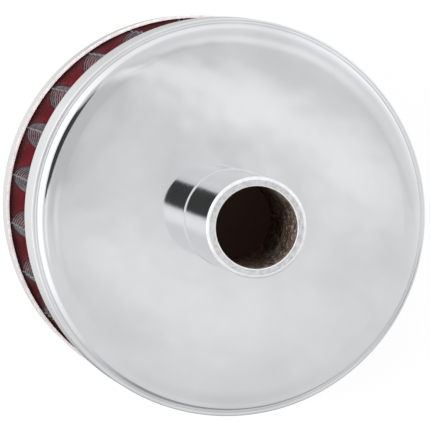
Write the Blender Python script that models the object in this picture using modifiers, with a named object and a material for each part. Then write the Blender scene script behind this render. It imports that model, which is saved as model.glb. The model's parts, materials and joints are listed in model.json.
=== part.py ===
"""Crankcase breather filter, in metres with +Z up.

Two stamped dishes hold a pleated filter pack, whose ends are set in red resin. A steel
neck is brazed into one dish and leads to the space inside the pleats. The filter stands
on its closed dish, with the neck pointing up, and its axis is Z.
"""

import math

import bmesh
import bpy
from mathutils import Vector

# Body
PLATE_DIAMETER = 0.0762
BODY_HEIGHT = 0.0572
SHEET = 0.0006

# Stamped dish, the same at both ends apart from its depth and its crown
PANEL_EDGE_RADIUS = 0.009
PANEL_EDGE_ANGLE = math.radians(11)
SHOULDER_RADIUS = 0.0007
STEP_ANGLE = math.radians(80)
CREASE_DEPTH = 0.00295
BEAD_RADIUS = 0.0007
BEAD_RISE = math.radians(35)
WALL_FLARE = 0.00015
CLOSED_END_DEPTH = 0.0114
NECK_END_DEPTH = 0.0134
NECK_END_CROWN = 0.0006

# Neck
NECK_DIAMETER = 0.0187
NECK_WALL = 0.0018
NECK_LENGTH = 0.027
NECK_INSIDE = 0.0012
NECK_OUTER_CHAMFER = 0.0004
NECK_INNER_CHAMFER = 0.0003
BRAZE_LEG = 0.0012

# Pleated pack
PLEAT_PITCH = 0.0089
PLEAT_DEPTH = 0.0144
NOSE_BEND = 0.00055
VALLEY_BEND = 0.0006
SCREEN = 0.0004
GAUZE = 0.0007
LAYER_GAP = 0.0003

# Resin
RESIN_BELOW_LIP = 0.001
RESIN_SKIN = 0.0003
RESIN_INNER_WALL = 0.0023
PACK_SET_IN = 0.005

# Clearances between pieces that touch on the real filter
SEAT_GAP = 0.0003
GROOVE_GAP = 0.0002

# Facets
ROUND_STEPS = 48
NECK_STEPS = 32
ARC_STEPS = 3
CROWN_STEPS = 2
NOSE_STEPS = 4
VALLEY_STEPS = 3
SMOOTH_BELOW = math.radians(50)

# Radii and heights that follow from the sizes above
PLATE_RADIUS = PLATE_DIAMETER / 2
NECK_RADIUS = NECK_DIAMETER / 2
BORE_RADIUS = NECK_RADIUS - NECK_WALL
BEAD_CREST_RADIUS = PLATE_RADIUS - WALL_FLARE - BEAD_RADIUS
CREASE_RADIUS = BEAD_CREST_RADIUS - BEAD_RADIUS * math.sin(BEAD_RISE)
EDGE_RUN = PANEL_EDGE_RADIUS * math.sin(PANEL_EDGE_ANGLE)
EDGE_DROP = PANEL_EDGE_RADIUS * (1 - math.cos(PANEL_EDGE_ANGLE))
SHOULDER_RUN = SHOULDER_RADIUS * (math.sin(STEP_ANGLE) - math.sin(PANEL_EDGE_ANGLE))
SHOULDER_DROP = SHOULDER_RADIUS * (math.cos(PANEL_EDGE_ANGLE) - math.cos(STEP_ANGLE))
SLOPE_RUN = (CREASE_DEPTH - EDGE_DROP - SHOULDER_DROP) / math.tan(STEP_ANGLE)
PANEL_RADIUS = CREASE_RADIUS - SLOPE_RUN - SHOULDER_RUN - EDGE_RUN
NECK_LIP = BODY_HEIGHT - NECK_END_DEPTH
CLOSED_RESIN_TOP = CLOSED_END_DEPTH - RESIN_BELOW_LIP
NECK_RESIN_TOP = NECK_LIP + RESIN_BELOW_LIP
RESIN_RADIUS = PLATE_RADIUS - SHEET - SEAT_GAP

PACK_THICKNESS = 2 * SCREEN + 2 * LAYER_GAP + GAUZE
PACK_BOTTOM = CLOSED_RESIN_TOP - PACK_SET_IN
PACK_TOP = NECK_RESIN_TOP + PACK_SET_IN
TIP_RADIUS = RESIN_RADIUS - RESIN_SKIN - GROOVE_GAP
FOLD_RADIUS = TIP_RADIUS - PLEAT_DEPTH
NOSE_CIRCLE = TIP_RADIUS - NOSE_BEND - PACK_THICKNESS
PLEATS = round(2 * math.pi * NOSE_CIRCLE / PLEAT_PITCH)
NOSE_MIDDLE = NOSE_BEND + PACK_THICKNESS / 2
VALLEY_MIDDLE = VALLEY_BEND + PACK_THICKNESS / 2
RESIN_BORE = FOLD_RADIUS - GROOVE_GAP - RESIN_INNER_WALL


def clear_scene():
    for leftover in list(bpy.data.objects):
        bpy.data.objects.remove(leftover)


def new_collection(name):
    group = bpy.data.collections.new(name)
    bpy.context.scene.collection.children.link(group)
    return group


def principled(name, colour, roughness, metallic):
    material = bpy.data.materials.new(name)
    material.use_nodes = True
    shader = material.node_tree.nodes["Principled BSDF"]
    shader.inputs["Base Color"].default_value = (*colour, 1)
    shader.inputs["Roughness"].default_value = roughness
    shader.inputs["Metallic"].default_value = metallic
    return material


def new_object(name, mesh, group):
    made = bpy.data.objects.new(name, mesh)
    group.objects.link(made)
    return made


def arc(centre, radius, start, end, steps):
    """Points of an arc, both ends included; the angles run from the first axis to the second."""
    points = []
    for step in range(steps + 1):
        angle = start + (end - start) * step / steps
        points.append(centre + radius * Vector((math.cos(angle), math.sin(angle))))
    return points


def inset(path, distance):
    """The same path moved towards the inside of its dish, with mitred corners."""
    normals = []
    for start, end in zip(path, path[1:]):
        along = (end - start).normalized()
        normals.append(Vector((-along.y, along.x)))
    moved = []
    for index, point in enumerate(path):
        before = normals[max(index - 1, 0)]
        after = normals[min(index, len(normals) - 1)]
        mitre = (before + after) / (1 + before.dot(after))
        moved.append(point + mitre * distance)
    return moved


def crown_depth(radius, crown):
    """How deep the outer face lies at a radius; a crowned panel stands above depth zero."""
    return -crown * (1 - (radius / PANEL_RADIUS) ** 2)


def dish_path(first_radius, crown, lip_depth, arc_steps):
    """Outer side of a dish as (radius, depth below its face), from the middle to the lip.

    The panel falls away gently at its edge and turns over a tight shoulder into a steep
    step. A sharp crease separates the step from the raised round bead, and from there the
    wall goes back to the lip, which is the widest part.
    """
    panel_steps = CROWN_STEPS if crown else 1
    path = []
    for step in range(panel_steps):
        radius = first_radius + (PANEL_RADIUS - first_radius) * step / panel_steps
        path.append(Vector((radius, crown_depth(radius, crown))))
    flat = -math.pi / 2
    turned = flat + PANEL_EDGE_ANGLE
    edge = Vector((PANEL_RADIUS, PANEL_EDGE_RADIUS))
    path.append(edge + PANEL_EDGE_RADIUS * Vector((0, -1)))
    inwards = PANEL_EDGE_RADIUS - SHOULDER_RADIUS
    shoulder = edge + inwards * Vector((math.cos(turned), math.sin(turned)))
    path += arc(shoulder, SHOULDER_RADIUS, turned, flat + STEP_ANGLE, arc_steps)
    bead = Vector((BEAD_CREST_RADIUS, CREASE_DEPTH + BEAD_RADIUS * math.cos(BEAD_RISE)))
    path += arc(bead, BEAD_RADIUS, flat - BEAD_RISE, 0, arc_steps)
    path.append(Vector((PLATE_RADIUS, lip_depth)))
    return path


def facing_up(path):
    """(radius, height) of a path on the neck end, whose face is at the top of the body."""
    return [Vector((point.x, BODY_HEIGHT - point.y)) for point in path]


def facing_down(path):
    """(radius, height) of a path on the closed end, turned round to run from top to bottom."""
    return [point.copy() for point in reversed(path)]


def turn(name, profile, closed, steps, group):
    """A profile of (radius, height) points turned about Z by a Screw modifier."""
    mesh = bpy.data.meshes.new(name)
    edges = [(index, index + 1) for index in range(len(profile) - 1)]
    if closed:
        edges.append((len(profile) - 1, 0))
    mesh.from_pydata([(point.x, 0, point.y) for point in profile], edges, [])
    turned = new_object(name, mesh, group)
    screw = turned.modifiers.new("turn", "SCREW")
    screw.steps = steps
    screw.render_steps = steps
    screw.use_merge_vertices = True
    screw.merge_threshold = 0.00001
    return turned


def thicken(piece, thickness, offset):
    """Gives an open surface its thickness: offset -1 is inwards, 0 is half to each side."""
    shell = piece.modifiers.new("thickness", "SOLIDIFY")
    shell.thickness = thickness
    shell.offset = offset
    shell.use_even_offset = True


def cut(piece, cutter):
    groove = piece.modifiers.new("groove", "BOOLEAN")
    groove.operation = "DIFFERENCE"
    groove.solver = "EXACT"
    groove.object = cutter


def settle(piece, material):
    """Keeps the modifiers' result as the piece's own mesh, smooth over its gentle edges."""
    graph = bpy.context.evaluated_depsgraph_get()
    mesh = bpy.data.meshes.new_from_object(piece.evaluated_get(graph))
    piece.modifiers.clear()
    piece.data = mesh
    mesh.name = piece.name
    mesh.shade_smooth()
    mesh.set_sharp_from_angle(angle=SMOOTH_BELOW)
    mesh.materials.clear()
    mesh.materials.append(material)


def pleat_loop(outwards):
    """The closed line round all pleats, moved outwards from the middle of the pack.

    Each pleat is a round nose, and a round valley joins it to the next one. Their radii
    add up to the same sum in every layer, so the flat walls of all layers are parallel.
    """
    half_pitch = math.pi / PLEATS
    nose = Vector((NOSE_CIRCLE, 0))
    valley_from_axis = FOLD_RADIUS + VALLEY_BEND + PACK_THICKNESS
    valley = valley_from_axis * Vector((math.cos(half_pitch), math.sin(half_pitch)))
    between = valley - nose
    lean = math.acos((NOSE_MIDDLE + VALLEY_MIDDLE) / between.length)
    side = math.atan2(between.y, between.x) - lean
    nose_radius = NOSE_MIDDLE + outwards
    valley_radius = VALLEY_MIDDLE - outwards
    pleat = arc(nose, nose_radius, -side, side, NOSE_STEPS)
    back = math.pi + side
    pleat += arc(valley, valley_radius, back, 2 * half_pitch + 2 * math.pi - back, VALLEY_STEPS)
    loop = []
    for number in range(PLEATS):
        turned = number * 2 * half_pitch
        cosine = math.cos(turned)
        sine = math.sin(turned)
        for point in pleat:
            loop.append((point.x * cosine - point.y * sine, point.x * sine + point.y * cosine))
    return loop


def pleated_band(name, outwards, thickness, bottom, top, group):
    """One layer of the pack: the pleat line drawn up from bottom to top, with a thickness."""
    loop = pleat_loop(outwards)
    drawn = bmesh.new()
    corners = [drawn.verts.new((x, y, bottom)) for x, y in loop]
    edges = [drawn.edges.new((corners[index - 1], corners[index])) for index in range(len(loop))]
    wall = bmesh.ops.extrude_edge_only(drawn, edges=edges)
    lifted = [item for item in wall["geom"] if isinstance(item, bmesh.types.BMVert)]
    bmesh.ops.translate(drawn, verts=lifted, vec=(0, 0, top - bottom))
    bmesh.ops.recalc_face_normals(drawn, faces=drawn.faces)
    mesh = bpy.data.meshes.new(name)
    drawn.to_mesh(mesh)
    drawn.free()
    band = new_object(name, mesh, group)
    thicken(band, thickness, 0)
    return band


def make_closed_plate(group, chrome):
    path = dish_path(0, 0, CLOSED_END_DEPTH, ARC_STEPS)
    plate = turn("closed_end_plate", facing_down(path), False, ROUND_STEPS, group)
    thicken(plate, SHEET, -1)
    settle(plate, chrome)


def make_neck_plate(group, chrome):
    hole = NECK_RADIUS + SEAT_GAP
    path = dish_path(hole, NECK_END_CROWN, NECK_END_DEPTH, ARC_STEPS)
    plate = turn("neck_end_plate", facing_up(path), False, ROUND_STEPS, group)
    thicken(plate, SHEET, -1)
    settle(plate, chrome)


def neck_seat_height():
    """Height of the neck plate's inner side at the neck."""
    return BODY_HEIGHT - crown_depth(NECK_RADIUS, NECK_END_CROWN) - SHEET


def make_neck(group, chrome):
    """The tube passes through the plate and is chamfered at its open end."""
    top = BODY_HEIGHT + NECK_LENGTH
    bottom = neck_seat_height() - NECK_INSIDE
    profile = [
        Vector((NECK_RADIUS - NECK_OUTER_CHAMFER, top)),
        Vector((NECK_RADIUS, top - NECK_OUTER_CHAMFER)),
        Vector((NECK_RADIUS, bottom)),
        Vector((BORE_RADIUS, bottom)),
        Vector((BORE_RADIUS, top - NECK_INNER_CHAMFER)),
        Vector((BORE_RADIUS + NECK_INNER_CHAMFER, top)),
    ]
    neck = turn("neck_tube", profile, True, NECK_STEPS, group)
    settle(neck, chrome)


def make_braze(group, bronze):
    """The hollow-faced fillet of braze in the corner between the plate and the tube."""
    near = NECK_RADIUS + SEAT_GAP
    seat = neck_seat_height() - SEAT_GAP
    hollow = Vector((near + BRAZE_LEG, seat - BRAZE_LEG))
    face = arc(hollow, BRAZE_LEG, math.pi / 2, math.pi, ARC_STEPS)
    profile = [Vector((near, seat))] + face
    braze = turn("neck_braze", profile, True, NECK_STEPS, group)
    settle(braze, bronze)


def make_groove_cutter(name, bottom, top, cutters):
    """The pack's own outline, grown by the clearance that the set-in ends keep."""
    cutter = pleated_band(name, 0, PACK_THICKNESS + 2 * GROOVE_GAP, bottom, top, cutters)
    cutter.hide_render = True
    cutter.display_type = "WIRE"
    return cutter


def make_closed_resin(group, cutters, red):
    """The resin poured into the closed dish set as a disc, round the ends of the pleats."""
    back = inset(dish_path(0, 0, CLOSED_END_DEPTH, 1), SHEET + SEAT_GAP)
    back[-1].y = CLOSED_RESIN_TOP
    profile = [Vector((0, CLOSED_RESIN_TOP))] + facing_down(back)
    resin = turn("closed_end_resin", profile, False, ROUND_STEPS, group)
    floor = PACK_BOTTOM - SEAT_GAP
    cut(resin, make_groove_cutter("closed_end_groove", floor, PACK_TOP, cutters))
    settle(resin, red)


def make_neck_resin(group, cutters, red):
    """The resin at the neck end is a ring, which leaves the way into the neck open."""
    crown = NECK_END_CROWN
    back = inset(dish_path(RESIN_BORE, crown, NECK_END_DEPTH, 1), SHEET + SEAT_GAP)
    back[0].x = RESIN_BORE
    outer = facing_up(back)
    outer[-1].y = NECK_RESIN_TOP
    profile = outer + [Vector((RESIN_BORE, NECK_RESIN_TOP))]
    resin = turn("neck_end_resin", profile, True, ROUND_STEPS, group)
    floor = PACK_TOP + SEAT_GAP
    cut(resin, make_groove_cutter("neck_end_groove", PACK_BOTTOM, floor, cutters))
    settle(resin, red)


def make_pack(group, wire, cotton):
    """Cotton gauze folded between two wire screens."""
    apart = GAUZE / 2 + LAYER_GAP + SCREEN / 2
    layers = (
        ("outer_screen", apart, SCREEN, wire),
        ("gauze_pack", 0, GAUZE, cotton),
        ("inner_screen", -apart, SCREEN, wire),
    )
    for name, outwards, thickness, material in layers:
        band = pleated_band(name, outwards, thickness, PACK_BOTTOM, PACK_TOP, group)
        settle(band, material)


def main():
    clear_scene()
    filter_parts = new_collection("breather_filter")
    cutters = new_collection("cutters")
    chrome = principled("chrome", (0.78, 0.78, 0.79), 0.06, 1)
    neck_chrome = principled("neck_chrome", (0.74, 0.74, 0.75), 0.08, 1)
    bronze = principled("braze", (0.42, 0.27, 0.13), 0.45, 1)
    red = principled("red_resin", (0.16, 0.012, 0.022), 0.45, 0)
    wire = principled("screen_wire", (0.19, 0.19, 0.2), 0.5, 1)
    cotton = principled("oiled_gauze", (0.4, 0.03, 0.05), 0.9, 0)
    make_closed_plate(filter_parts, chrome)
    make_neck_plate(filter_parts, chrome)
    make_neck(filter_parts, neck_chrome)
    make_braze(filter_parts, bronze)
    make_closed_resin(filter_parts, cutters, red)
    make_neck_resin(filter_parts, cutters, red)
    make_pack(filter_parts, wire, cotton)


main()
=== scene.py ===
"""Looks of a crankcase breather filter: chromed dishes, neck, red resin and wired pleats.

Everything is drawn in millimetres and scaled to metres as it is finished.
"""

import json
import math

import bmesh
import bpy
from mathutils import Matrix, Vector

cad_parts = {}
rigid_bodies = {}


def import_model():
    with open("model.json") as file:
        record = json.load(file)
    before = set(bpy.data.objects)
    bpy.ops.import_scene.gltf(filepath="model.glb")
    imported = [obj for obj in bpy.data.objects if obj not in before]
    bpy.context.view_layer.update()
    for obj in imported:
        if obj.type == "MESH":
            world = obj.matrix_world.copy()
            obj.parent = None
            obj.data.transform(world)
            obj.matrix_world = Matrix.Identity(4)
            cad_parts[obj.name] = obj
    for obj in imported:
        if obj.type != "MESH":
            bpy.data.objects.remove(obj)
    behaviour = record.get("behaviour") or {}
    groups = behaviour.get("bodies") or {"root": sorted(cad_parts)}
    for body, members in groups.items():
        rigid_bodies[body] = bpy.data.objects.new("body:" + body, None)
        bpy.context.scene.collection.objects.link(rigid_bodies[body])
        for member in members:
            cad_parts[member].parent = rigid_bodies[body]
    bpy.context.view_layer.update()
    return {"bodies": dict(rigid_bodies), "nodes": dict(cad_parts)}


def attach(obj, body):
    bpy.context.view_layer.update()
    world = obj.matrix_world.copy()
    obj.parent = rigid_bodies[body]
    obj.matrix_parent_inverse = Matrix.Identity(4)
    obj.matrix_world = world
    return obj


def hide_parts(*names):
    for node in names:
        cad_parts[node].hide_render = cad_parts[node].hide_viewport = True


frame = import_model()

BODY = next(iter(frame["bodies"]))
MM = 0.001

# Body, in millimetres
PLATE_RADIUS = 38.1
BODY_HEIGHT = 57.2
SHEET = 0.6

# Stamped dish; a panel's arcs are (radius, slope at the outer end)
NECK_END_ARCS = ((710, 1.5), (34, 5.6), (9, 11))
CLOSED_END_ARCS = ((34, 5.6), (9, 11))
NECK_END_CROWN = 0.36
SHOULDER_RADIUS = 0.35
STEP_SLOPE = 70
CREASE_DEPTH = 2.8
CREASE_RADIUS = 0.25
CREASE_STEPS = 16
BEAD_RADIUS = 0.35
BEAD_STEPS = 20
BEAD_RISE = 20
WALL_FLARE = 0.15
CLOSED_END_DEPTH = 11.4
NECK_END_DEPTH = 13.4
LIP_ROUNDING = 0.2

# Neck
NECK_RADIUS = 9.35
BORE_RADIUS = 7.55
NECK_LENGTH = 27
NECK_INSIDE = 1.2
END_OUTER_ROUNDING = 0.6
END_INNER_ROUNDING = 0.25
JOINT_FILLET = 0.18

# Pleated pack
PLEATS = 24
NOSE_CIRCLE = 34.05
VALLEY_CIRCLE = 25.0
NOSE_MIDDLE = 1.6
VALLEY_MIDDLE = 1.65
PLEAT_SWING = math.radians(0.45)
CREST_PEAK = 0.45
CREST_LEAN = 0.45
PACK_BOTTOM = 5.4
PACK_TOP = 49.8
SCREEN_OFFSET = 0.85
GAUZE_THICKNESS = 1.1

# Woven wire
WARPS_PER_PLEAT = 8
WEFT_PITCH = 3.6
WIRE = 0.4
WIRE_WAVE = 0.7 * WIRE
PACK_HALF = SCREEN_OFFSET + WIRE

# Resin; its surface has fine faces from FINE_FROM outwards, where the pleats stand in it
CLOSED_RESIN_TOP = 10.4
NECK_RESIN_TOP = 44.8
RESIN_DEPTH = 9.4
RESIN_BORE = 19.8
RESIN_SIDE = 4.4
RESIN_SLANT = 5.1
COARSE_TO = 20.4
FINE_FROM = 32
CREEP = 0.15
CREEP_REACH = 0.35

# Short faces beside a bend, so that its smooth shading does not run on into a flat
SUPPORT = 0.05

HALF_PITCH = math.pi / PLEATS

# Faces round a turned piece
ROUND_STEPS = 192
NECK_STEPS = 128
RESIN_STEPS = 480

# Places of a neck's materials
CHROME, SAWN, RUSTY, HIGHLIGHT_CORNER = range(4)


# Geometry


class Outline:
    """A line in the XZ plane that a turned piece starts from, drawn corner by corner."""

    def __init__(self, x, z):
        self.drawn = bmesh.new()
        self.first = self.drawn.verts.new((x, 0, z))
        self.last = self.first

    def line(self, x, z, steps=1):
        start = self.last.co.copy()
        end = Vector((x, 0, z))
        for step in range(1, steps + 1):
            made = bmesh.ops.extrude_vert_indiv(self.drawn, verts=[self.last])
            self.last = made["verts"][0]
            self.last.co = start.lerp(end, step / steps)

    def bend(self, x, z, degrees, steps):
        """Turns on round a centre; positive degrees lead from the left over the top to the right."""
        made = bmesh.ops.spin(
            self.drawn,
            geom=[self.last],
            cent=(x, 0, z),
            axis=(0, 1, 0),
            angle=math.radians(degrees),
            steps=steps,
        )
        self.last = made["geom_last"][0]

    def close(self):
        self.drawn.edges.new((self.last, self.first))

    def turn(self, steps=ROUND_STEPS):
        """Turns the outline about Z into a surface without seam, with its faces outwards."""
        bmesh.ops.spin(
            self.drawn,
            geom=self.drawn.verts[:] + self.drawn.edges[:],
            cent=(0, 0, 0),
            axis=(0, 0, 1),
            angle=math.tau,
            steps=steps,
            use_merge=True,
        )
        bmesh.ops.remove_doubles(self.drawn, verts=self.drawn.verts, dist=0.002)
        bmesh.ops.recalc_face_normals(self.drawn, faces=self.drawn.faces)
        return self.drawn


def on_circle(radius, angle):
    return Vector((radius * math.cos(angle), radius * math.sin(angle)))


def swing(pleat):
    """How far a pleat leans off its even place, because gauze never folds quite evenly."""
    return PLEAT_SWING * math.sin(2.4 * (pleat % PLEATS) ** 2)


class PleatLine:
    """The line round all pleats that one layer follows, as far outwards from the pack's middle."""

    def __init__(self, outwards):
        self.nose_radius = NOSE_MIDDLE + outwards
        self.valley_radius = VALLEY_MIDDLE - outwards
        self.nose = Vector((NOSE_CIRCLE, 0))
        self.valley = on_circle(VALLEY_CIRCLE, HALF_PITCH)
        between = self.valley - self.nose
        lean = math.acos((NOSE_MIDDLE + VALLEY_MIDDLE) / between.length)
        self.side = math.atan2(between.y, between.x) - lean
        self.nose_arc = self.nose_radius * self.side
        self.wall = between.length * math.sin(lean)
        self.valley_arc = self.valley_radius * (self.side - HALF_PITCH)
        self.pleat_length = 2 * (self.nose_arc + self.wall + self.valley_arc)

    def place(self, along):
        """(point, outward direction) at a distance along the line, which starts on a crest."""
        pleat, rest = divmod(along, self.pleat_length)
        mirrored = rest > self.pleat_length / 2
        if mirrored:
            rest = self.pleat_length - rest
            pleat += 1
        start_rest = rest
        crest = max(1 - rest / self.nose_arc, 0) ** 2
        if rest < self.nose_arc:
            out = on_circle(1, rest / self.nose_radius)
            point = self.nose + self.nose_radius * out + Vector((CREST_PEAK * crest, 0))
        elif rest < self.nose_arc + self.wall:
            out = on_circle(1, self.side)
            inwards = on_circle(1, self.side + math.pi / 2)
            point = self.nose + self.nose_radius * out + (rest - self.nose_arc) * inwards
        else:
            past = rest - self.nose_arc - self.wall
            out = on_circle(1, self.side - past / self.valley_radius)
            point = self.valley - self.valley_radius * out
        if mirrored:
            out.y = -out.y
            point.y = -point.y
        point.y -= CREST_LEAN * crest
        neighbour = pleat - 1 if mirrored else pleat + 1
        share = start_rest / self.pleat_length
        swung = (1 - share) * swing(pleat) + share * swing(neighbour)
        turn = Matrix.Rotation(pleat * 2 * HALF_PITCH + swung, 2)
        return turn @ point, turn @ out

    def distance(self, x, y):
        """How far a point is from the line."""
        angle = math.atan2(y, x)
        angle -= swing(round(angle / (2 * HALF_PITCH)))
        folded = abs((angle + HALF_PITCH) % (2 * HALF_PITCH) - HALF_PITCH)
        point = on_circle(math.hypot(x, y), folded)
        from_nose = point - self.nose
        from_valley = self.valley - point
        nose_turn = math.atan2(from_nose.y, from_nose.x)
        valley_turn = math.atan2(from_valley.y, from_valley.x)
        if nose_turn < self.side:
            return abs(from_nose.length - self.nose_radius)
        if valley_turn < self.side:
            return abs(from_valley.length - self.valley_radius)
        return abs(from_nose.dot(on_circle(1, self.side)) - self.nose_radius)


def finish_piece(name, drawn, material, sharp=35):
    """Makes the drawing an object in metres that rides with the filter."""
    bmesh.ops.scale(drawn, vec=(MM, MM, MM), verts=drawn.verts)
    mesh = bpy.data.meshes.new(name)
    drawn.to_mesh(mesh)
    drawn.free()
    mesh.shade_smooth()
    mesh.set_sharp_from_angle(angle=math.radians(sharp))
    mesh.materials.append(material)
    piece = bpy.data.objects.new(name, mesh)
    bpy.context.scene.collection.objects.link(piece)
    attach(piece, BODY)
    return piece


def run_of(radius, first, last):
    """How far outwards and down an arc leads; first and last are its slopes in degrees."""
    first = math.radians(first)
    last = math.radians(last)
    return radius * (math.sin(last) - math.sin(first)), radius * (math.cos(first) - math.cos(last))


def stamped_dish(hole, arcs, crown, depth):
    """The outer side of a dish that faces up; its panel's middle is at the height of its crown.

    From the middle outwards: panel, shoulder, steep step, crease, raised bead, flared wall.
    """
    bead_crest = PLATE_RADIUS - WALL_FLARE - BEAD_RADIUS
    foot = bead_crest - (BEAD_RADIUS + CREASE_RADIUS) * math.sin(math.radians(BEAD_RISE))
    pieces = []
    slope = 0
    for radius, last in (*arcs, (SHOULDER_RADIUS, STEP_SLOPE)):
        pieces.append((radius, slope, last, *run_of(radius, slope, last)))
        slope = last
    step_end, crease_drop = run_of(CREASE_RADIUS, 0, STEP_SLOPE)
    step_drop = CREASE_DEPTH + crown - crease_drop - sum(piece[4] for piece in pieces)
    step_run = step_drop / math.tan(math.radians(STEP_SLOPE))
    x = foot - step_end - step_run - sum(piece[3] for piece in pieces)
    z = crown
    outline = Outline(hole, z)
    if hole:
        outline.line(hole + LIP_ROUNDING + SUPPORT, z)
    outline.line(x - SUPPORT, z, 8)
    outline.line(x, z)
    for radius, first, last, run, drop in pieces:
        centre_x = x - radius * math.sin(math.radians(first))
        centre_z = z - radius * math.cos(math.radians(first))
        outline.bend(centre_x, centre_z, last - first, max(10, round(run)))
        x += run
        z -= drop
    outline.line(x + step_run, z - step_drop, 3)
    outline.bend(foot, -CREASE_DEPTH + CREASE_RADIUS, -STEP_SLOPE - BEAD_RISE, CREASE_STEPS)
    rise = math.radians(BEAD_RISE)
    bead_height = -CREASE_DEPTH + CREASE_RADIUS - (BEAD_RADIUS + CREASE_RADIUS) * math.cos(rise)
    outline.bend(bead_crest, bead_height, 90 + BEAD_RISE, BEAD_STEPS)
    outline.line(PLATE_RADIUS - WALL_FLARE, bead_height - SUPPORT)
    outline.line(PLATE_RADIUS, -depth, 8)
    return outline.turn()


def give_sheet(piece):
    """Sheet metal: an even thickness inwards and cut edges with their corners broken."""
    sheet = piece.modifiers.new("sheet", "SOLIDIFY")
    sheet.thickness = SHEET * MM
    sheet.offset = -1
    sheet.use_even_offset = True
    sheet.material_offset_rim = 1
    edges = piece.modifiers.new("broken edges", "BEVEL")
    edges.width = LIP_ROUNDING * MM
    edges.segments = 3
    edges.limit_method = "ANGLE"
    edges.angle_limit = math.radians(75)


def neck_end_dish(chrome, cut_edge):
    drawn = stamped_dish(NECK_RADIUS + 0.02, NECK_END_ARCS, NECK_END_CROWN, NECK_END_DEPTH)
    bmesh.ops.translate(drawn, verts=drawn.verts, vec=(0, 0, BODY_HEIGHT))
    dish = finish_piece("neck_end_dish", drawn, chrome)
    dish.data.materials.append(cut_edge)
    give_sheet(dish)
    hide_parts("neck_end_plate")


def closed_end_dish(chrome, cut_edge):
    drawn = stamped_dish(0, CLOSED_END_ARCS, 0, CLOSED_END_DEPTH)
    bmesh.ops.rotate(drawn, verts=drawn.verts, cent=(0, 0, 0), matrix=Matrix.Rotation(math.pi, 3, "X"))
    dish = finish_piece("closed_end_dish", drawn, chrome)
    dish.data.materials.append(cut_edge)
    give_sheet(dish)
    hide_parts("closed_end_plate")


def neck(chrome, sawn, rusty, highlight_corner):
    """The tube: chromed outside, sawn and broken at its end, bare inside.

    A hollow fillet of plated braze fills the corner between the tube and the dish.
    """
    top = BODY_HEIGHT + NECK_LENGTH
    bottom = BODY_HEIGHT - NECK_INSIDE
    fillet_edge = NECK_RADIUS + JOINT_FILLET
    panel = BODY_HEIGHT + NECK_END_CROWN
    outline = Outline(BORE_RADIUS, bottom)
    outline.line(BORE_RADIUS, top - END_INNER_ROUNDING - SUPPORT, 24)
    outline.line(BORE_RADIUS, top - END_INNER_ROUNDING)
    outline.bend(BORE_RADIUS + END_INNER_ROUNDING, top - END_INNER_ROUNDING, 90, 6)
    outline.line(NECK_RADIUS - END_OUTER_ROUNDING, top, 3)
    outline.bend(NECK_RADIUS - END_OUTER_ROUNDING, top - END_OUTER_ROUNDING, 90, 8)
    outline.line(NECK_RADIUS, top - END_OUTER_ROUNDING - SUPPORT)
    outline.line(NECK_RADIUS, panel + JOINT_FILLET + SUPPORT, 16)
    outline.line(NECK_RADIUS, panel + JOINT_FILLET)
    outline.bend(fillet_edge, panel + JOINT_FILLET, -90, 10)
    outline.line(fillet_edge, panel - SHEET / 2)
    outline.line(NECK_RADIUS, panel - SHEET / 2)
    outline.line(NECK_RADIUS, bottom)
    outline.close()
    drawn = outline.turn(NECK_STEPS)
    for face in drawn.faces:
        middle = face.calc_center_median()
        radius = middle.xy.length
        if radius < BORE_RADIUS + SUPPORT / 2:
            face.material_index = RUSTY
        # The rounded corners of the end get the material that is partly painted highlight
        elif middle.z > top - END_OUTER_ROUNDING and radius > NECK_RADIUS - END_OUTER_ROUNDING:
            face.material_index = HIGHLIGHT_CORNER
        elif middle.z > top - END_INNER_ROUNDING and radius < BORE_RADIUS + END_INNER_ROUNDING:
            face.material_index = HIGHLIGHT_CORNER
        elif middle.z > top - SUPPORT:
            face.material_index = SAWN
    tube = finish_piece("neck", drawn, chrome)
    tube.data.materials.append(sawn)
    tube.data.materials.append(rusty)
    tube.data.materials.append(highlight_corner)
    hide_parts("neck_tube")


def resin_height(x, y, middle):
    """How high the poured resin creeps above its level at the wall, the pleats and its bore."""
    from_wall = PLATE_RADIUS - SHEET - math.hypot(x, y)
    from_pack = max(middle.distance(x, y) - PACK_HALF, 0)
    at_wall = CREEP * math.exp(-from_wall / CREEP_REACH)
    at_pack = CREEP * math.exp(-from_pack / CREEP_REACH)
    return max(at_wall, at_pack)


def poured_resin(name, level, facing, bore, material):
    """Resin poured into a dish; facing is 1 where its surface looks up and -1 where it looks down."""
    rim = PLATE_RADIUS - SHEET - 0.02
    floor = level - facing * RESIN_DEPTH
    if bore:
        outline = Outline(bore, floor)
        outline.line(bore, level, 6)
    else:
        outline = Outline(0, floor)
        outline.line(0, level)
    outline.line(COARSE_TO, level, 2)
    outline.line(FINE_FROM, level, 30)
    outline.line(rim, level, 22)
    outline.line(rim, level - facing * RESIN_SIDE, 2)
    outline.line(rim - RESIN_SLANT, floor, 2)
    if bore:
        outline.close()
    else:
        outline.line(0, floor)
    drawn = outline.turn(RESIN_STEPS)
    middle = PleatLine(0)
    for corner in drawn.verts:
        if abs(corner.co.z - level) < 0.01:
            corner.co.z += facing * resin_height(corner.co.x, corner.co.y, middle)
    resin = finish_piece(name, drawn, material, 60)
    return resin


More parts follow.
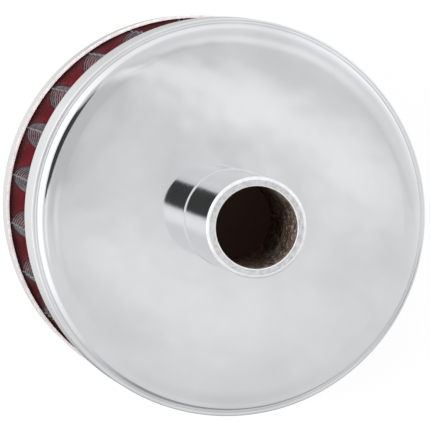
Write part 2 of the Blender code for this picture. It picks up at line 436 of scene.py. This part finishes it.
def gauze_pleats(material):
    """Cotton gauze folded into the pleats, close behind the wire."""
    line = PleatLine(0)
    steps = 36
    drawn = bmesh.new()
    corners = []
    for step in range(PLEATS * steps):
        point = line.place(line.pleat_length * step / steps)[0]
        corners.append(drawn.verts.new((point.x, point.y, PACK_BOTTOM)))
    edges = [drawn.edges.new((corners[index - 1], corners[index])) for index in range(len(corners))]
    rows = 37
    for _ in range(rows):
        made = bmesh.ops.extrude_edge_only(drawn, edges=edges)["geom"]
        lifted = [item for item in made if isinstance(item, bmesh.types.BMVert)]
        edges = [item for item in made if isinstance(item, bmesh.types.BMEdge)]
        bmesh.ops.translate(drawn, verts=lifted, vec=(0, 0, (PACK_TOP - PACK_BOTTOM) / rows))
    bmesh.ops.recalc_face_normals(drawn, faces=drawn.faces)
    gauze = finish_piece("gauze_pleats", drawn, material, 60)
    plies = gauze.modifiers.new("plies", "SOLIDIFY")
    plies.thickness = GAUZE_THICKNESS * MM
    plies.offset = 0
    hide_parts("gauze_pack")


def add_wire(curve, points, closed):
    wire = curve.splines.new("POLY")
    wire.points.add(len(points) - 1)
    for target, point in zip(wire.points, points):
        target.co = (*(point * MM), 1)
    wire.use_cyclic_u = closed
    wire.use_smooth = True


def wire_screen(name, outwards, steps, node, material):
    """Woven wire folded with the pleats: wefts run round the pack and warps run along it."""
    line = PleatLine(outwards)
    curve = bpy.data.curves.new(name, "CURVE")
    curve.dimensions = "3D"
    curve.bevel_depth = WIRE / 2 * MM
    curve.bevel_resolution = 0
    warps = PLEATS * WARPS_PER_PLEAT
    warp_pitch = line.pleat_length / WARPS_PER_PLEAT
    wefts = round((PACK_TOP - PACK_BOTTOM - 7) / WEFT_PITCH)
    lowest = (PACK_TOP + PACK_BOTTOM - (wefts - 1) * WEFT_PITCH) / 2
    for weft in range(wefts):
        points = []
        for step in range(warps * steps):
            point = line.place(step * warp_pitch / steps)[0]
            points.append(point.to_3d() + Vector((0, 0, lowest + weft * WEFT_PITCH)))
        add_wire(curve, points, True)
    for warp in range(warps):
        point, out = line.place(warp * warp_pitch)
        points = []
        for step in range(-2, 2 * wefts + 1):
            wave = WIRE_WAVE * math.cos(math.pi * (step / 2 + warp))
            height = lowest + step * WEFT_PITCH / 2
            points.append((point + wave * out).to_3d() + Vector((0, 0, height)))
        add_wire(curve, points, False)
    curve.materials.append(material)
    screen = bpy.data.objects.new(name, curve)
    bpy.context.scene.collection.objects.link(screen)
    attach(screen, BODY)
    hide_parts(node)


# Materials
#
# A pattern's scale counts its spots per metre: 1100 draws them 0.9 mm apart. Grain, pits, beads and
# rust specks are under 0.2 mm on the real filter; they are drawn that coarse so that they show.


def srgb(code):
    """Turns an sRGB hex value into linear light with full alpha."""
    channels = []
    for start in (1, 3, 5):
        value = int(code[start : start + 2], 16) / 255
        channels.append(value / 12.92 if value <= 0.04045 else ((value + 0.055) / 1.055) ** 2.4)
    return (*channels, 1)


def add_node(tree, kind, inputs=None, stops=(), **settings):
    """Adds a node with its settings and links.

    Inputs maps each socket to a value or to another node's output. Stops are a ramp's places and
    colours, from the lowest place up.
    """
    node = tree.nodes.new(kind)
    for index, (place, colour) in enumerate(stops):
        elements = node.color_ramp.elements
        stop = elements[index] if index < len(elements) else elements.new(place)
        stop.position = place
        stop.color = colour
    for setting, value in settings.items():
        setattr(node, setting, value)
    for socket, source in (inputs or {}).items():
        if isinstance(source, bpy.types.NodeSocket):
            tree.links.new(source, node.inputs[socket])
        else:
            node.inputs[socket].default_value = source
    return node


def new_finish(name, **constants):
    """A material with its Principled shader, whose plain values are set on the shader's own sockets."""
    material = bpy.data.materials.new(name)
    material.use_nodes = True
    shader = material.node_tree.nodes["Principled BSDF"]
    for socket, value in constants.items():
        shader.inputs[socket.replace("_", " ")].default_value = value
    return material, material.node_tree, shader


def polished_chrome_plate():
    """Bright chrome over polished steel: a clear mirror, with the slight waves that stamping leaves.

    The waves are 8 mm long, as on pressed sheet; the haze in the polish is in clouds of 11 mm.
    """
    material, tree, shader = new_finish("polished chrome plate", Metallic=1)
    place = add_node(tree, "ShaderNodeTexCoord").outputs["Object"]
    haze = add_node(tree, "ShaderNodeTexNoise", {"Vector": place, "Scale": 90, "Detail": 3})
    tint = add_node(
        tree,
        "ShaderNodeValToRGB",
        {"Fac": haze.outputs["Fac"]},
        stops=((0.35, srgb("#E8E9EB")), (0.7, srgb("#F0F1F3"))),
    ).outputs["Color"]
    tree.links.new(tint, shader.inputs["Base Color"])
    rough = add_node(
        tree,
        "ShaderNodeMapRange",
        {
            "Value": haze.outputs["Fac"],
            "From Min": 0.3,
            "From Max": 0.7,
            "To Min": 0.03,
            "To Max": 0.06,
        },
    )
    tree.links.new(rough.outputs["Result"], shader.inputs["Roughness"])
    waves = add_node(tree, "ShaderNodeTexNoise", {"Vector": place, "Scale": 130, "Detail": 1})
    bump = add_node(
        tree, "ShaderNodeBump", {"Height": waves.outputs["Fac"], "Distance": 0.00003}
    )
    tree.links.new(bump.outputs["Normal"], shader.inputs["Normal"])
    return material


def chromed_tube():
    """Chrome over drawn tube: a clear mirror with faint turning marks round it.

    The marks lie 2 mm along the turn and 0.4 mm across, coarser than real, and soften what it shows.
    """
    material, tree, shader = new_finish(
        "chrome over drawn tube", Base_Color=srgb("#ECEDEF"), Metallic=1, Roughness=0.025
    )
    place = add_node(tree, "ShaderNodeTexCoord").outputs["Object"]
    stretched = add_node(
        tree, "ShaderNodeVectorMath", {0: place, 1: (1, 1, 5)}, operation="MULTIPLY"
    )
    marks = add_node(
        tree, "ShaderNodeTexNoise", {"Vector": stretched.outputs["Vector"], "Scale": 450, "Detail": 2}
    )
    bump = add_node(
        tree, "ShaderNodeBump", {"Height": marks.outputs["Fac"], "Distance": 0.00001}
    )
    tree.links.new(bump.outputs["Normal"], shader.inputs["Normal"])
    return material


def sawn_chromed_end():
    """Chrome over the faced end of the tube: light grey, softly mottled, less clear than the rest."""
    material, tree, shader = new_finish("chrome over faced steel", Metallic=1, Roughness=0.2)
    place = add_node(tree, "ShaderNodeTexCoord").outputs["Object"]
    pits = add_node(tree, "ShaderNodeTexNoise", {"Vector": place, "Scale": 1100, "Detail": 3})
    tint = add_node(
        tree,
        "ShaderNodeValToRGB",
        {"Fac": pits.outputs["Fac"]},
        stops=((0.35, srgb("#D6D7D9")), (0.6, srgb("#EEEEF0"))),
    ).outputs["Color"]
    tree.links.new(tint, shader.inputs["Base Color"])
    bump = add_node(
        tree, "ShaderNodeBump", {"Height": pits.outputs["Fac"], "Distance": 0.00004}
    )
    tree.links.new(bump.outputs["Normal"], shader.inputs["Normal"])
    return material


def corner_painted_highlight():
    """Chrome over the rounded corner of the tube's end, partly painted highlight: its near-white diffuse
    share paints the bright ring on the corner.
    """
    material, tree, shader = new_finish("chrome corner painted highlight", Metallic=0.7, Roughness=0.3)
    place = add_node(tree, "ShaderNodeTexCoord").outputs["Object"]
    grain_in_highlight = add_node(tree, "ShaderNodeTexNoise", {"Vector": place, "Scale": 700, "Detail": 2})
    # Painted highlight: near-white stops for the diffuse share, mottled at random
    tint = add_node(
        tree,
        "ShaderNodeValToRGB",
        {"Fac": grain_in_highlight.outputs["Fac"]},
        stops=((0.35, srgb("#EDEEEF")), (0.65, srgb("#FAFAFA"))),
    ).outputs["Color"]
    tree.links.new(tint, shader.inputs["Base Color"])
    return material


def cut_edge_painted_highlight():
    """The sheared lip of a dish in painted highlight: pinkish white, barely metallic and rough, it paints
    the lip's bright line, with painted glints in small beads.
    """
    material, tree, shader = new_finish("sheared edge painted highlight", Metallic=0.15, Roughness=0.35)
    place = add_node(tree, "ShaderNodeTexCoord").outputs["Object"]
    beads_and_glints = add_node(tree, "ShaderNodeTexNoise", {"Vector": place, "Scale": 900, "Detail": 2})
    # Painted highlight: near-white stops, brighter in painted glints where the noise is high; the bump
    # gives the real beads
    tint = add_node(
        tree,
        "ShaderNodeValToRGB",
        {"Fac": beads_and_glints.outputs["Fac"]},
        stops=((0.35, srgb("#EDEAEA")), (0.6, srgb("#FFFEFD"))),
    ).outputs["Color"]
    tree.links.new(tint, shader.inputs["Base Color"])
    bump = add_node(
        tree, "ShaderNodeBump", {"Height": beads_and_glints.outputs["Fac"], "Distance": 0.00003}
    )
    tree.links.new(bump.outputs["Normal"], shader.inputs["Normal"])
    return material


def rusty_bore():
    """Bare drawn steel inside the neck: brown light rust, worn back to grey steel in specks."""
    material, tree, shader = new_finish("rusty drawn steel", Metallic=0, Roughness=0.5)
    place = add_node(tree, "ShaderNodeTexCoord").outputs["Object"]
    patches = add_node(
        tree, "ShaderNodeTexNoise", {"Vector": place, "Scale": 260, "Detail": 5, "Roughness": 0.65}
    )
    rust = add_node(
        tree,
        "ShaderNodeValToRGB",
        {"Fac": patches.outputs["Fac"]},
        stops=((0.36, srgb("#33261F")), (0.5, srgb("#5E4536")), (0.6, srgb("#7D6A5C"))),
    ).outputs["Color"]
    worn = add_node(
        tree, "ShaderNodeTexNoise", {"Vector": place, "Scale": 1500, "Detail": 3, "Roughness": 0.7}
    )
    specks = add_node(
        tree,
        "ShaderNodeMapRange",
        {"Value": worn.outputs["Fac"], "From Min": 0.52, "From Max": 0.66},
    )
    tint = add_node(
        tree,
        "ShaderNodeMix",
        {"Factor": specks.outputs["Result"], "A": rust, "B": srgb("#C9C4BE")},
        data_type="RGBA",
    )
    tree.links.new(tint.outputs["Result"], shader.inputs["Base Color"])
    bump = add_node(
        tree, "ShaderNodeBump", {"Height": worn.outputs["Fac"], "Distance": 0.0003}
    )
    tree.links.new(bump.outputs["Normal"], shader.inputs["Normal"])
    return material


def braze_fillet():
    """Dull braze, yellow-brown and slightly rippled where it ran into the corner."""
    material, tree, shader = new_finish("brass braze", Metallic=1, Roughness=0.45)
    place = add_node(tree, "ShaderNodeTexCoord").outputs["Object"]
    ripples = add_node(tree, "ShaderNodeTexNoise", {"Vector": place, "Scale": 600, "Detail": 3})
    tint = add_node(
        tree,
        "ShaderNodeValToRGB",
        {"Fac": ripples.outputs["Fac"]},
        stops=((0.35, srgb("#6B4A22")), (0.65, srgb("#A87C45"))),
    ).outputs["Color"]
    tree.links.new(tint, shader.inputs["Base Color"])
    return material


def poured_polyurethane():
    """Dark crimson polyurethane, clouded every 4 to 5 mm where it was poured.

    It lies thin near the dish wall, where it is darker and browner as painted shade of the corner between
    resin and wall, and it is brown with oil and soot in the chamber.
    """
    material, tree, shader = new_finish("poured polyurethane", Roughness=0.42, IOR=1.5)
    place = add_node(tree, "ShaderNodeTexCoord").outputs["Object"]
    clouds = add_node(tree, "ShaderNodeTexNoise", {"Vector": place, "Scale": 220, "Detail": 3})
    crimson = add_node(
        tree,
        "ShaderNodeValToRGB",
        {"Fac": clouds.outputs["Fac"]},
        stops=((0.3, srgb("#7A1424")), (0.7, srgb("#A01E34"))),
    ).outputs["Color"]
    across = add_node(
        tree, "ShaderNodeVectorMath", {0: place, 1: (1, 1, 0)}, operation="MULTIPLY"
    )
    radius = add_node(
        tree, "ShaderNodeVectorMath", {0: across.outputs["Vector"]}, operation="LENGTH"
    )
    # Painted shade: towards the dish wall the crimson turns dark brown, as shade in the corner where the
    # resin meets the wall
    wall_shade = add_node(
        tree,
        "ShaderNodeMapRange",
        {"Value": radius.outputs["Value"], "From Min": 33 * MM, "From Max": 37.2 * MM},
    )
    tint = add_node(
        tree,
        "ShaderNodeMix",
        {"Factor": wall_shade.outputs["Result"], "A": crimson, "B": srgb("#4C2524")},
        data_type="RGBA",
    )
    oily = add_node(
        tree,
        "ShaderNodeMapRange",
        {"Value": radius.outputs["Value"], "From Min": 22 * MM, "From Max": 19 * MM},
    )
    soiled = add_node(
        tree,
        "ShaderNodeMix",
        {"Factor": oily.outputs["Result"], "A": tint.outputs["Result"], "B": srgb("#57423A")},
        data_type="RGBA",
    )
    tree.links.new(soiled.outputs["Result"], shader.inputs["Base Color"])
    bump = add_node(
        tree, "ShaderNodeBump", {"Height": clouds.outputs["Fac"], "Distance": 0.0003}
    )
    tree.links.new(bump.outputs["Normal"], shader.inputs["Normal"])
    return material


def coated_wire():
    """Aluminium wire with a thin grey epoxy coat: satin, in a grey that varies at random."""
    material, tree, shader = new_finish("epoxy-coated aluminium wire", Metallic=0.5, Roughness=0.4)
    place = add_node(tree, "ShaderNodeTexCoord").outputs["Object"]
    wear = add_node(tree, "ShaderNodeTexNoise", {"Vector": place, "Scale": 700, "Detail": 2})
    tint = add_node(
        tree,
        "ShaderNodeValToRGB",
        {"Fac": wear.outputs["Fac"]},
        stops=((0.3, srgb("#58575B")), (0.7, srgb("#7E7D81"))),
    ).outputs["Color"]
    tree.links.new(tint, shader.inputs["Base Color"])
    return material


def oiled_gauze():
    """Cotton gauze wet with red oil: soft threads half a millimetre apart that shine a little."""
    material, tree, shader = new_finish("oiled cotton gauze", Roughness=0.5)
    place = add_node(tree, "ShaderNodeTexCoord").outputs["Object"]
    threads = add_node(tree, "ShaderNodeTexNoise", {"Vector": place, "Scale": 1800, "Detail": 2})
    tint = add_node(
        tree,
        "ShaderNodeValToRGB",
        {"Fac": threads.outputs["Fac"]},
        stops=((0.3, srgb("#9A2434")), (0.7, srgb("#D05060"))),
    ).outputs["Color"]
    tree.links.new(tint, shader.inputs["Base Color"])
    bump = add_node(
        tree, "ShaderNodeBump", {"Height": threads.outputs["Fac"], "Distance": 0.0002}
    )
    tree.links.new(bump.outputs["Normal"], shader.inputs["Normal"])
    return material


# Studio

TILT = math.radians(9.86)
CAMERA_SIDE = math.radians(-87.0)
ROLL = math.radians(20.58)
CAMERA_DEPTH = 740
AIM_HEIGHT = 53
FOCAL_PIXELS = 3884
PICTURE = 430
AIM_PIXEL = (228.9, 217.2)
SENSOR = 36

SIDE = Vector((math.cos(CAMERA_SIDE), math.sin(CAMERA_SIDE), 0))
BACK = math.cos(TILT) * Vector((0, 0, 1)) + math.sin(TILT) * SIDE
ALONG = math.sin(TILT) * Vector((0, 0, 1)) - math.cos(TILT) * SIDE
ACROSS = ALONG.cross(BACK)

# The tent's brightness: overhead, and low down by degrees clockwise in the picture
TENT_TOP = 0.75
TENT_RING = (
    (0, 0.85),
    (30, 0.74),
    (70, 0.66),
    (115, 0.72),
    (150, 0.88),
    (180, 0.95),
    (218, 0.95),
    (245, 0.84),
    (290, 0.92),
    (330, 1.05),
    (360, 0.87),
)

# The table lies a hair below the filter, so that the two don't share a plane
TABLE_SIZE = 3000
TABLE_GAP = 0.05

# The table's brightness in the chrome, by the same degrees
TABLE_RING = (
    (0, 0.95),
    (30, 0.6),
    (60, 0.3),
    (110, 0.32),
    (135, 0.8),
    (155, 1.1),
    (180, 1.22),
    (215, 1.22),
    (240, 0.97),
    (290, 0.88),
    (330, 1.15),
    (360, 0.95),
)

# Lamps, card and reflectors in the tent: along, across, half width, half depth, turn, softness and
# brightness. The last three are the camera, the edge of its hood and the card beside it.
TENT_PATCHES = (
    (0.016, -0.026, 0.139, 0.1, 12, 0.38, 0.57),
    (0.056, -0.09, 0.116, 0.015, 20, 0.62, 0.93),
    (0.098, -0.111, 0.045, 0.027, 49, 0.45, 0.6),
    (0.166, -0.161, 0.097, 0.033, -3, 0.93, 0.89),
    (0.231, -0.088, 0.141, 0.014, 0, 0.92, 0.69),
    (0.189, -0.046, 0.069, 0.02, 5, 0.94, 0.93),
    (0.161, 0.035, 0.084, 0.026, -3, 0.7, 0.85),
    (0.118, -0.007, 0.036, 0.028, 5, 0.72, 0.75),
    (0.245, 0.2, 0.09, 0.073, -18, 0.94, 0.66),
    (0.038, 0.055, 0.032, 0.027, 4, 0.89, 0.83),
    (-0.125, 0.125, 0.05, 0.06, 0, 0.6, 0.95),
    (-0.19, -0.035, 0.115, 0.1, 0, 0.12, 0.05),
    (-0.215, 0.07, 0.05, 0.03, -15, 0.15, 0.05),
    (-0.21, -0.14, 0.065, 0.038, 12, 0.3, 0.58),
)

# Name, place along and across the neck's lean and its height in millimetres, size, watts.
# The last one is the light that soaks through the gauze into the chamber.
LAMPS = (
    ("lamp_before", -500, 130, 450, 0.3, 2.2),
    ("lamp_over", -100, -350, 800, 0.4, 1.0),
    ("light_in_chamber", 0, 0, 48, 0.012, 0.0016),
)


def photo_camera():
    """The camera looks down the neck's side from 9.9 degrees off the axis, rolled as in the photo."""
    right = math.cos(ROLL) * ALONG - math.sin(ROLL) * ACROSS
    down = math.sin(ROLL) * ALONG + math.cos(ROLL) * ACROSS
    pixel = CAMERA_DEPTH / FOCAL_PIXELS
    place = Vector((0, 0, AIM_HEIGHT)) + CAMERA_DEPTH * BACK
    place -= (AIM_PIXEL[0] - PICTURE / 2) * pixel * right
    place -= (AIM_PIXEL[1] - PICTURE / 2) * pixel * down
    lens = bpy.data.cameras.new("photo_camera")
    lens.sensor_width = SENSOR
    lens.lens = SENSOR * FOCAL_PIXELS / PICTURE
    lens.clip_start = 0.01
    lens.clip_end = 20
    camera = bpy.data.objects.new("photo_camera", lens)
    turn = Matrix((right, -down, BACK)).transposed()
    camera.matrix_world = Matrix.Translation(place * MM) @ turn.to_4x4()
    bpy.context.scene.collection.objects.link(camera)
    bpy.context.scene.camera = camera


def picture_parts(tree, vector):
    """The parts of a vector along and across the neck's lean in the picture."""
    along = add_node(tree, "ShaderNodeVectorMath", {0: vector, 1: -SIDE}, operation="DOT_PRODUCT")
    across = add_node(tree, "ShaderNodeVectorMath", {0: vector, 1: ACROSS}, operation="DOT_PRODUCT")
    parts = {"X": along.outputs["Value"], "Y": across.outputs["Value"], "Z": 0.0}
    return add_node(tree, "ShaderNodeCombineXYZ", parts).outputs["Vector"]


def light_tent():
    """The white tent round the filter with lamps, card and the camera, as the chrome shows them.

    A patch's along and across are the parts of its direction that point along and across the neck's
    lean in the picture.
    """
    world = bpy.data.worlds.new("light_tent")
    world.use_nodes = True
    tree = world.node_tree
    background = tree.nodes["Background"]
    background.inputs["Color"].default_value = srgb("#FFFFFF")
    flat = picture_parts(tree, add_node(tree, "ShaderNodeTexCoord").outputs["Generated"])
    ring = add_ring(tree, flat, TENT_RING)
    spread = add_node(tree, "ShaderNodeVectorMath", {0: flat}, operation="LENGTH")
    low = add_node(
        tree,
        "ShaderNodeMapRange",
        {"Value": spread.outputs["Value"], "From Min": 0.25, "From Max": 0.6},
        interpolation_type="SMOOTHSTEP",
    )
    light = add_node(
        tree, "ShaderNodeMix", {"Factor": low.outputs["Result"], "A": TENT_TOP, "B": ring}
    ).outputs["Result"]
    for a, b, wide, deep, turn, soft, value in TENT_PATCHES:
        placed = add_node(
            tree,
            "ShaderNodeMapping",
            {
                "Vector": flat,
                "Location": (a, b, 0),
                "Rotation": (0, 0, math.radians(turn)),
                "Scale": (wide, deep, 1),
            },
            vector_type="TEXTURE",
        )
        away = add_node(
            tree, "ShaderNodeVectorMath", {0: placed.outputs["Vector"]}, operation="LENGTH"
        )
        share = add_node(
            tree,
            "ShaderNodeMapRange",
            {"Value": away.outputs["Value"], "From Min": 1 + soft, "From Max": 1 - soft},
            interpolation_type="SMOOTHSTEP",
        )
        light = add_node(
            tree, "ShaderNodeMix", {"Factor": share.outputs["Result"], "A": light, "B": value}
        ).outputs["Result"]
    path = add_node(tree, "ShaderNodeLightPath")
    seen = add_node(
        tree, "ShaderNodeMix", {"Factor": path.outputs["Is Camera Ray"], "A": light, "B": 1.0}
    )
    tree.links.new(seen.outputs["Result"], background.inputs["Strength"])
    bpy.context.scene.world = world


def add_ring(tree, place, levels):
    """Brightness by direction round the filter; levels are (degrees clockwise in the picture, value)."""
    turned = add_node(
        tree, "ShaderNodeMapping", {"Vector": place, "Rotation": (0, 0, ROLL - math.pi)}
    )
    around = add_node(
        tree, "ShaderNodeTexGradient", {"Vector": turned.outputs["Vector"]}, gradient_type="RADIAL"
    )
    stops = [(degrees / 360, (value, value, value, 1)) for degrees, value in levels]
    return add_node(
        tree, "ShaderNodeValToRGB", {"Fac": around.outputs["Fac"]}, stops=stops
    ).outputs["Color"]


def table_top():
    """A plain white table that keeps a faint shadow.

    The chrome shows it as bright as TABLE_RING says, and a third dimmer close to the filter, where
    the filter itself keeps the light off it.
    """
    drawn = bmesh.new()
    bmesh.ops.create_grid(drawn, x_segments=1, y_segments=1, size=TABLE_SIZE)
    bmesh.ops.translate(drawn, verts=drawn.verts, vec=(0, 0, -TABLE_GAP))
    bmesh.ops.scale(drawn, vec=(MM, MM, MM), verts=drawn.verts)
    mesh = bpy.data.meshes.new("table_top")
    drawn.to_mesh(mesh)
    drawn.free()
    table = bpy.data.objects.new("table_top", mesh)
    bpy.context.scene.collection.objects.link(table)
    material = bpy.data.materials.new("white table")
    material.use_nodes = True
    tree = material.node_tree
    tree.nodes.remove(tree.nodes["Principled BSDF"])
    place = picture_parts(tree, add_node(tree, "ShaderNodeTexCoord").outputs["Object"])
    away = add_node(tree, "ShaderNodeVectorMath", {0: place}, operation="LENGTH")
    near = add_node(
        tree,
        "ShaderNodeMapRange",
        {
            "Value": away.outputs["Value"],
            "From Min": 36 * MM,
            "From Max": 80 * MM,
            "To Min": 0.66,
        },
        interpolation_type="SMOOTHSTEP",
    )
    shade = add_node(
        tree,
        "ShaderNodeMath",
        {0: add_ring(tree, place, TABLE_RING), 1: near.outputs["Result"]},
        operation="MULTIPLY",
    )
    path = add_node(tree, "ShaderNodeLightPath")
    mirrored = add_node(tree, "ShaderNodeEmission", {"Strength": shade.outputs["Value"]})
    paper = add_node(tree, "ShaderNodeBsdfDiffuse", {"Color": srgb("#E7E7E7")})
    lit = add_node(
        tree,
        "ShaderNodeMixShader",
        {"Fac": path.outputs["Is Glossy Ray"], 1: paper.outputs["BSDF"], 2: mirrored.outputs["Emission"]},
    )
    faint = add_node(tree, "ShaderNodeBsdfDiffuse", {"Color": srgb("#818181")})
    glow = add_node(tree, "ShaderNodeEmission", {"Strength": 0.82})
    white = add_node(
        tree, "ShaderNodeAddShader", {0: faint.outputs["BSDF"], 1: glow.outputs["Emission"]}
    )
    seen = add_node(
        tree,
        "ShaderNodeMixShader",
        {"Fac": path.outputs["Is Camera Ray"], 1: lit.outputs["Shader"], 2: white.outputs["Shader"]},
    )
    tree.links.new(seen.outputs["Shader"], tree.nodes["Material Output"].inputs["Surface"])
    mesh.materials.append(material)


def soft_lamps():
    """Soft lamps for all that isn't chrome; the chrome shows the tent's lamps instead."""
    for name, along, across, height, size, watts in LAMPS:
        light = bpy.data.lights.new(name, "AREA")
        light.shape = "DISK"
        light.size = size
        light.energy = watts
        place = MM * (-along * SIDE + across * ACROSS + height * Vector((0, 0, 1)))
        lamp = bpy.data.objects.new(name, light)
        lamp.matrix_world = Matrix.Translation(place) @ place.to_track_quat("Z", "Y").to_matrix().to_4x4()
        lamp.visible_glossy = False
        lamp.visible_camera = False
        bpy.context.scene.collection.objects.link(lamp)


chrome = polished_chrome_plate()
resin = poured_polyurethane()
wire = coated_wire()
photo_camera()
light_tent()
soft_lamps()
table_top()
cut_edge = cut_edge_painted_highlight()
neck_end_dish(chrome, cut_edge)
closed_end_dish(chrome, cut_edge)
neck(chromed_tube(), sawn_chromed_end(), rusty_bore(), corner_painted_highlight())
far_resin = poured_resin("closed_end_resin_pour", CLOSED_RESIN_TOP, 1, 0, resin)
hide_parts("closed_end_resin")
near_resin = poured_resin("neck_end_resin_pour", NECK_RESIN_TOP, -1, RESIN_BORE, resin)
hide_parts("neck_end_resin")
gauze_pleats(oiled_gauze())
wire_screen("outer_wire_screen", SCREEN_OFFSET, 4, "outer_screen", wire)
wire_screen("inner_wire_screen", -SCREEN_OFFSET, 3, "inner_screen", wire)
frame["nodes"]["neck_braze"].data.materials.clear()
frame["nodes"]["neck_braze"].data.materials.append(braze_fillet())

bpy.context.scene.view_settings.view_transform = "Standard"
